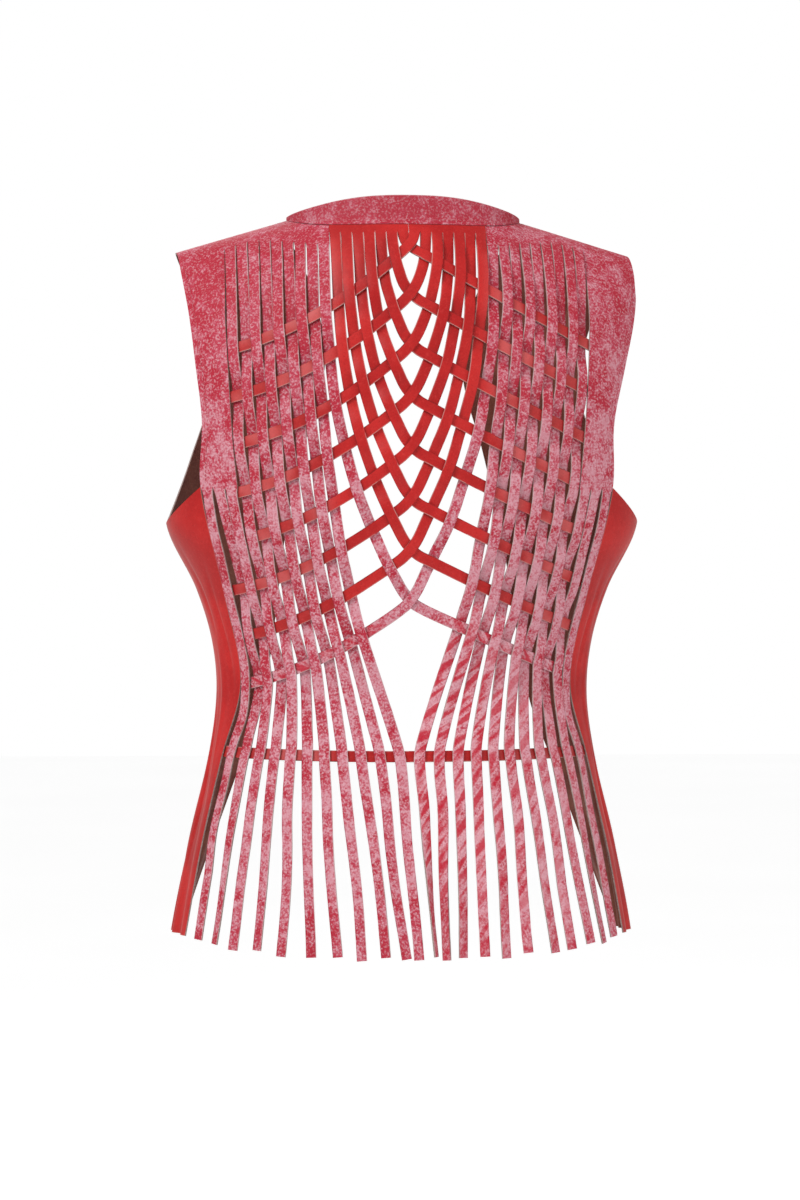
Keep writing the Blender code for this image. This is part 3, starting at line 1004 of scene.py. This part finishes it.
def front_armhole_stitches(side, word):
    return edge_stitches(
        f"armhole_stitches_front_{word}", side,
        lambda z: smooth(ARMHOLE_FRONT, z) - STITCH_INSET, -40, UNDERARM + 14, 80,
    )


def front_edge_stitches(side, word):
    return edge_stitches(
        f"front_edge_stitches_{word}", side,
        lambda z: smooth(FRONT_EDGE, z) + STITCH_INSET, -18, SIDE_HEM + 8, 150, lift=0.12,
    )


def neckband_stitches(share, word):
    points, normals = [], []
    for n in range(140):
        x = NECK_X * STITCH_REACH * math.sin(math.pi / 2 * (2 * n / 139 - 1))
        here = band_point(x, share)
        along = band_point(x + 0.5, share) - band_point(x - 0.5, share)
        up = band_point(x, share + 0.05) - band_point(x, share - 0.05)
        normal = along.cross(up).normalized()
        normal = normal if normal.y > 0 else -normal
        normals.append(normal)
        points.append(here + normal * (LEATHER / 2 + 0.02))
    return stitch_line(points, normals, f"neckband_stitches_{word}")


def tone(red, green, blue):
    """A colour as the eye names it, 0 to 255, in the light-linear values that the shader takes."""
    values = []
    for part in (red, green, blue):
        c = part / 255
        values.append(c / 12.92 if c <= 0.04045 else ((c + 0.055) / 1.055) ** 2.4)
    return (*values, 1.0)


def new_group(name, inputs, outputs):
    """An empty shader group with named inputs and outputs."""
    group = bpy.data.node_groups.new(name, "ShaderNodeTree")
    for label, kind, value in inputs:
        socket = group.interface.new_socket(label, in_out="INPUT", socket_type=kind)
        socket.default_value = value
    for label, kind in outputs:
        group.interface.new_socket(label, in_out="OUTPUT", socket_type=kind)
    return group, group.nodes.new("NodeGroupInput"), group.nodes.new("NodeGroupOutput")


def fill(tree, made, values):
    """Gives values or sockets to a node's inputs, by name or number."""
    for key, value in values.items():
        if isinstance(value, bpy.types.NodeSocket):
            tree.links.new(value, made.inputs[key])
        else:
            made.inputs[key].default_value = value


def node(tree, kind, values=None, **settings):
    """One node with its settings and its inputs."""
    made = tree.nodes.new(kind)
    for key, value in settings.items():
        setattr(made, key, value)
    fill(tree, made, values or {})
    return made


def maths(tree, operation, a, b=0.5, c=0.5, limit=False):
    values = {0: a, 1: b, 2: c}
    made = node(tree, "ShaderNodeMath", values, operation=operation, use_clamp=limit)
    return made.outputs[0]


def times(tree, a, b):
    return maths(tree, "MULTIPLY", a, b)


def added(tree, first, *others):
    for other in others:
        first = maths(tree, "ADD", first, other)
    return first


def spread(tree, value, low, high):
    """0 below low, 1 above high, and soft between."""
    links = {"Value": value, "From Min": low, "From Max": high}
    return node(tree, "ShaderNodeMapRange", links, interpolation_type="SMOOTHSTEP").outputs[0]


def mixed(tree, share, a, b):
    return node(tree, "ShaderNodeMix", {0: share, 6: a, 7: b}, data_type="RGBA").outputs[2]


def tinted(tree, colour, mask, amount, tint):
    """A colour with another laid over it where the mask is, up to an amount."""
    return mixed(tree, times(tree, mask, amount), colour, tint)


def noise_value(tree, place, scale, detail=4.0, rough=0.55):
    links = {"Vector": place, "Scale": scale, "Detail": detail, "Roughness": rough}
    return node(tree, "ShaderNodeTexNoise", links).outputs["Fac"]


def make_grain_group():
    """Fine grain of the hide: pebbles with pores between them."""
    group, given, out = new_group(
        "hide grain",
        [("Place", "NodeSocketVector", (0, 0, 0)), ("Pebble Scale", "NodeSocketFloat", 900.0)],
        [("Height", "NodeSocketFloat"), ("Pores", "NodeSocketFloat")],
    )
    place, scale = given.outputs["Place"], given.outputs["Pebble Scale"]
    cells = {"Vector": place, "Scale": scale}
    pebbles = node(group, "ShaderNodeTexVoronoi", cells, feature="SMOOTH_F1").outputs["Distance"]
    height = maths(group, "MULTIPLY_ADD", pebbles, -0.7)
    fill(group, out, {
        "Height": added(group, height, noise_value(group, place, 260.0, 3.0)),
        "Pores": spread(group, pebbles, 0.45, 0.8),
    })
    return group


def make_frost_group():
    """Where the frosted finish is dense, thin or rubbed through."""
    group, given, out = new_group(
        "frosted finish",
        [("Place", "NodeSocketVector", (0, 0, 0)), ("Amount", "NodeSocketFloat", 0.5)],
        [(name, "NodeSocketFloat") for name in ("Haze", "Rubbed", "Speckle")],
    )
    place = given.outputs["Place"]
    speckle = noise_value(group, place, 560.0, 2.0, 0.6)
    blotch = noise_value(group, place, 120.0, 4.0, 0.65)
    cloud = noise_value(group, place, 30.0, 3.0, 0.55)
    shift = maths(group, "SUBTRACT", given.outputs["Amount"], 0.5)
    fine = added(group, times(group, speckle, 0.4), times(group, blotch, 0.35))
    haze = added(group, fine, times(group, cloud, 0.25), shift)
    bare = added(group, times(group, cloud, 0.6), times(group, blotch, 0.4), shift)
    fill(group, out, {
        "Haze": spread(group, haze, 0.45, 0.62),
        "Rubbed": spread(group, bare, 0.53, 0.42),
        "Speckle": spread(group, speckle, 0.48, 0.7),
    })
    return group


def make_streak_group():
    """Slanting patches where a strip's finish is torn off, and the pale rims between them."""
    group, given, out = new_group(
        "torn streaks",
        [(name, "NodeSocketFloat", 0.0) for name in ("Along", "Across", "Amount")],
        [("Bared", "NodeSocketFloat"), ("Rim", "NodeSocketFloat")],
    )
    along, across, amount = (given.outputs[name] for name in ("Along", "Across", "Amount"))
    slanted = {"X": added(group, along, times(group, across, 5.0)), "Y": times(group, across, 1.6)}
    flat = {"X": along, "Y": times(group, across, STRIP_WIDTH / 2)}
    band = node(group, "ShaderNodeCombineXYZ", slanted).outputs[0]
    spot = node(group, "ShaderNodeCombineXYZ", flat).outputs[0]
    patches = noise_value(group, band, 0.105, 1.5, 0.5)
    frayed = noise_value(group, spot, 0.55, 4.0, 0.7)
    torn = added(group, times(group, patches, 0.72), times(group, frayed, 0.28))
    bared = spread(group, torn, 0.46, 0.55)
    rim = maths(group, "SUBTRACT", spread(group, torn, 0.40, 0.48), bared, limit=True)
    rim = times(group, rim, spread(group, frayed, 0.38, 0.6))
    fill(group, out, {"Bared": times(group, bared, amount), "Rim": times(group, rim, amount)})
    return group


def make_edge_and_shadow_group():
    """Pale cut-edge line along a strip's edge towards the middle of the back, painted shadow along
    the other.
    """
    group, given, out = new_group(
        "strip edges and painted shadow",
        [("Place", "NodeSocketVector", (0, 0, 0)), ("Across", "NodeSocketFloat", 0.0)],
        [("Pale", "NodeSocketFloat"), ("Shadow", "NodeSocketFloat")],
    )
    place = given.outputs["Place"]
    sideways = node(group, "ShaderNodeSeparateXYZ", {"Vector": place}).outputs["X"]
    half = maths(group, "MULTIPLY_ADD", spread(group, sideways, -0.0005, 0.0005), 2.0, -1.0)
    inwards = times(group, given.outputs["Across"], half)
    broken = noise_value(group, place, 70.0, 3.0, 0.6)
    pale = times(group, spread(group, inwards, 0.78, 0.96), spread(group, broken, 0.32, 0.5))
    # painted shadow along the strip's edge away from the middle of the back
    dark = times(group, spread(group, inwards, -0.8, -0.98), spread(group, broken, 0.62, 0.4))
    fill(group, out, {"Pale": pale, "Shadow": dark})
    return group


def attribute(tree, name):
    return node(tree, "ShaderNodeAttribute", attribute_name=name).outputs["Fac"]


def new_material(name, roughness, display):
    """A material with its node tree, its shader and the place on the object."""
    material = bpy.data.materials.new(name)
    material.use_nodes = True
    material.diffuse_color = display
    tree = material.node_tree
    shader = tree.nodes["Principled BSDF"]
    shader.inputs["Roughness"].default_value = roughness
    return material, tree, shader, node(tree, "ShaderNodeTexCoord").outputs["Object"]


def bump(tree, shader, height, distance, strength):
    values = {"Height": height, "Distance": distance, "Strength": strength}
    raised = node(tree, "ShaderNodeBump", values)
    tree.links.new(raised.outputs[0], shader.inputs["Normal"])


def place_group(tree, group, values):
    return node(tree, "ShaderNodeGroup", values, node_tree=group).outputs


def finished(tree, colour, place, pale, dark, worn):
    """A colour with a strip's pale cut edge, a painted shadow along its other edge, a painted shadow
    along the top row under the neckband's seam, and worn cut edges.
    """
    edges_and_shadow = place_group(tree, edge_and_shadow_group, {"Place": place, "Across": attribute(tree, "across")})
    colour = tinted(tree, colour, edges_and_shadow["Pale"], *pale)
    # painted shadow along one edge of each strip
    colour = tinted(tree, colour, edges_and_shadow["Shadow"], *dark)
    # painted shadow: a dark line along the panels' top row, under the neckband's fold and along the
    # shoulders
    seam = spread(tree, attribute(tree, "seam"), 0.1, 0.7)
    colour = tinted(tree, colour, seam, 0.8, tone(70, 20, 22))
    return tinted(tree, colour, spread(tree, attribute(tree, "edge"), 0.6, 1.0), 0.45, worn)


def make_smooth_red():
    """Smooth leather: drifting dye, dark pores, and a faint haze on strips away from the centre."""
    material, tree, shader, place = new_material("smooth red leather", 0.42, (0.55, 0.03, 0.03, 1))
    grain = place_group(tree, grain_group, {"Place": place, "Pebble Scale": 1100.0})
    drift = noise_value(tree, place, 22.0, 3.0)
    fine = noise_value(tree, place, 380.0, 3.0, 0.65)
    colour = mixed(tree, spread(tree, drift, 0.38, 0.64), tone(174, 20, 20), tone(194, 33, 31))
    colour = tinted(tree, colour, spread(tree, fine, 0.5, 0.72), 0.3, tone(208, 60, 56))
    colour = tinted(tree, colour, grain["Pores"], 0.35, tone(140, 14, 18))
    sideways = node(tree, "ShaderNodeSeparateXYZ", {"Vector": place}).outputs["X"]
    outwards = maths(tree, "ABSOLUTE", sideways)
    on_strip = spread(tree, maths(tree, "ABSOLUTE", attribute(tree, "along")), 0.5, 5.0)
    hazed = times(tree, spread(tree, outwards, 0.052, 0.078), on_strip)
    patchy = added(tree, 0.04, times(tree, spread(tree, drift, 0.4, 0.62), 0.3))
    colour = tinted(tree, colour, hazed, patchy, tone(208, 128, 128))
    # pale cut-edge line, and the dark red of the painted shadow along the other edge
    pale, dark = (0.6, tone(200, 150, 144)), (0.7, tone(84, 14, 16))
    fill(tree, shader, {
        "Base Color": finished(tree, colour, place, pale, dark, tone(198, 118, 110)),
        "Roughness": added(tree, 0.36, times(tree, drift, 0.2)),
        "Specular IOR Level": 0.28,
        "Sheen Weight": 0.16,
        "Sheen Roughness": 0.35,
        "Sheen Tint": (1.0, 0.72, 0.66, 1.0),
    })
    bump(tree, shader, grain["Height"], 0.00025, 0.35)
    return material


def make_frosted_red():
    """Frosted leather: a pale haze over red, denser low down, torn off in streaks."""
    shown = (0.58, 0.12, 0.16, 1)
    material, tree, shader, place = new_material("frosted red leather", 0.72, shown)
    parts = node(tree, "ShaderNodeSeparateXYZ", {"Vector": place}).outputs
    low = spread(tree, parts["Z"], -0.03, -0.30)
    amount = added(
        tree, 0.465, times(tree, low, 0.07), times(tree, spread(tree, parts["X"], 0.06, -0.1), 0.025)
    )
    at_hem = times(tree, spread(tree, parts["Z"], -0.52, -0.59), 0.06)
    amount = maths(tree, "SUBTRACT", amount, at_hem)
    frost = place_group(tree, frost_group, {"Place": place, "Amount": amount})
    grain = place_group(tree, grain_group, {"Place": place, "Pebble Scale": 1000.0})
    colour = tinted(tree, tone(182, 54, 74), frost["Rubbed"], 0.6, tone(172, 24, 42))
    dense = added(tree, 0.58, times(tree, low, 0.22))
    colour = tinted(tree, colour, frost["Haze"], dense, tone(212, 156, 167))
    colour = tinted(tree, colour, frost["Speckle"], 0.3, tone(224, 186, 192))
    # darker near the top, over the neckband and the shoulder tops
    darker_at_top = spread(tree, parts["Z"], -0.009, 0.0)
    colour = tinted(tree, colour, darker_at_top, 0.3, tone(148, 52, 62))
    marks = {"Along": "along", "Across": "across", "Amount": "torn"}
    marks = {key: attribute(tree, name) for key, name in marks.items()}
    streaks = place_group(tree, streak_group, marks)
    colour = tinted(tree, colour, streaks["Bared"], 0.85, tone(188, 30, 50))
    colour = tinted(tree, colour, streaks["Rim"], 0.85, tone(226, 172, 180))
    # pale cut-edge line, and the dark red of the painted shadow along the other edge
    pale, dark = (0.7, tone(196, 170, 170)), (0.65, tone(112, 34, 42))
    fill(tree, shader, {
        "Base Color": finished(tree, colour, place, pale, dark, tone(206, 160, 164)),
        "Roughness": added(tree, 0.62, times(tree, frost["Haze"], 0.25)),
        "Specular IOR Level": 0.2,
    })
    height = added(tree, grain["Height"], times(tree, frost["Haze"], 0.6))
    bump(tree, shader, height, 0.0003, 0.5)
    return material


def make_flesh_side():
    material, tree, shader, place = new_material("flesh side", 0.95, (0.1, 0.07, 0.05, 1))
    fibre = noise_value(tree, place, 520.0, 5.0, 0.7)
    patch = noise_value(tree, place, 45.0, 3.0)
    colour = mixed(tree, spread(tree, patch, 0.35, 0.65), tone(108, 54, 46), tone(128, 74, 60))
    colour = tinted(tree, colour, spread(tree, fibre, 0.45, 0.75), 0.4, tone(150, 106, 88))
    fill(tree, shader, {"Base Color": colour, "Specular IOR Level": 0.1, "Sheen Weight": 0.25})
    bump(tree, shader, fibre, 0.0004, 0.6)
    return material


def make_cut_edge():
    material, tree, shader, place = new_material("cut edge", 0.9, (0.5, 0.4, 0.38, 1))
    fibre = noise_value(tree, place, 700.0, 4.0, 0.7)
    colour = mixed(tree, spread(tree, fibre, 0.35, 0.7), tone(146, 124, 120), tone(182, 162, 156))
    fill(tree, shader, {"Base Color": colour, "Specular IOR Level": 0.15})
    bump(tree, shader, fibre, 0.0002, 0.5)
    return material


def make_thread():
    material, tree, shader, place = new_material("rose thread", 0.6, (0.5, 0.12, 0.15, 1))
    twist = noise_value(tree, place, 2600.0, 2.0)
    colour = mixed(tree, twist, tone(176, 60, 74), tone(214, 116, 128))
    fill(tree, shader, {"Base Color": colour})
    bump(tree, shader, twist, 0.0001, 0.5)
    return material


def make_floor():
    material, tree, shader, place = new_material("pale floor", 0.9, (0.9, 0.9, 0.9, 1))
    cloud = noise_value(tree, place, 0.8, 2.0)
    colour = mixed(tree, cloud, (0.94, 0.94, 0.94, 1), (0.97, 0.97, 0.97, 1))
    seen = node(tree, "ShaderNodeLightPath").outputs["Is Camera Ray"]
    fill(tree, shader, {
        "Base Color": colour,
        "Specular IOR Level": 0.1,
        "Emission Color": colour,
        "Emission Strength": times(tree, seen, FLOOR_GLOW),
    })
    return material


FLOOR_Z = -1.40
FLOOR_SIZE = 40.0
FLOOR_GLOW = 0.52
ROOM_LIGHT = 0.5
CAMERA_AZIMUTH = math.radians(176)
CAMERA_DISTANCE = 2.6
CAMERA_HEIGHT = -0.305
CAMERA_ASIDE = 0.0016
FRAME_HEIGHT = 0.972
SENSOR = 36.0
WHITE = (1.0, 1.0, 1.0, 1)

# soft lamps: name, place, size in metres, watts
LAMPS = (
    ("key", (1.9, 2.0, 2.1), 1.3, 78.0),
    ("fill", (-2.4, 2.0, 0.4), 2.2, 24.0),
    ("front", (0.4, -2.8, 1.2), 2.0, 40.0),
)


def make_floor_and_light():
    """A pale floor, a white backdrop that lights more softly than it shows, and three lamps."""
    bpy.ops.mesh.primitive_grid_add(
        x_subdivisions=8, y_subdivisions=8, size=FLOOR_SIZE, location=(0, 0, FLOOR_Z)
    )
    floor = bpy.context.object
    floor.name = "floor"
    floor.data.materials.append(make_floor())
    world = bpy.data.worlds.new("studio")
    bpy.context.scene.world = world
    world.use_nodes = True
    tree = world.node_tree
    around = tree.nodes["Background"]
    fill(tree, around, {"Color": WHITE, "Strength": ROOM_LIGHT})
    backdrop = node(tree, "ShaderNodeBackground", {"Color": WHITE, "Strength": 1.0})
    seen = node(tree, "ShaderNodeLightPath").outputs["Is Camera Ray"]
    values = {0: seen, 1: around.outputs[0], 2: backdrop.outputs[0]}
    blend = node(tree, "ShaderNodeMixShader", values)
    tree.links.new(blend.outputs[0], tree.nodes["World Output"].inputs["Surface"])
    for name, place, size, power in LAMPS:
        data = bpy.data.lights.new(name, "AREA")
        data.size = size
        data.energy = power
        lamp = bpy.data.objects.new(name, data)
        lamp.location = place
        aim = Vector((0, 0, CAMERA_HEIGHT)) - lamp.location
        lamp.rotation_mode = "QUATERNION"
        lamp.rotation_quaternion = aim.to_track_quat("-Z", "Y")
        bpy.context.scene.collection.objects.link(lamp)


def make_camera():
    data = bpy.data.cameras.new("camera")
    data.sensor_width = SENSOR
    data.lens = SENSOR / (FRAME_HEIGHT / CAMERA_DISTANCE)
    camera = bpy.data.objects.new("camera", data)
    back = Vector((math.sin(CAMERA_AZIMUTH), -math.cos(CAMERA_AZIMUTH), 0))
    aside = Vector((back.y, -back.x, 0))
    camera.location = back * CAMERA_DISTANCE + aside * CAMERA_ASIDE + Vector((0, 0, CAMERA_HEIGHT))
    camera.rotation_mode = "QUATERNION"
    camera.rotation_quaternion = (-back).to_track_quat("-Z", "Y")
    bpy.context.scene.collection.objects.link(camera)
    bpy.context.scene.camera = camera


grain_group = make_grain_group()
frost_group = make_frost_group()
streak_group = make_streak_group()
edge_and_shadow_group = make_edge_and_shadow_group()
smooth_red = make_smooth_red()
frosted_red = make_frosted_red()
flesh_side = make_flesh_side()
cut_edge = make_cut_edge()
thread = make_thread()

band_piece = neckband()
belt_piece = belt()
band_extras = [turned_edge(), neckband_stitches(0.16, "low"), neckband_stitches(0.88, "high")]
for side, word in ((1, "left"), (-1, "right")):
    yoke_piece = yoke(side, word)
    back_piece = back_half(side, word)
    extras = [back_armhole_stitches(side, word)]
    if side > 0:
        extras.append(belt_piece)
    front_piece = front(side, word)
    stitches = [front_armhole_stitches(side, word), front_edge_stitches(side, word)]

make_floor_and_light()
make_camera()
bpy.context.scene.view_settings.view_transform = "Standard"
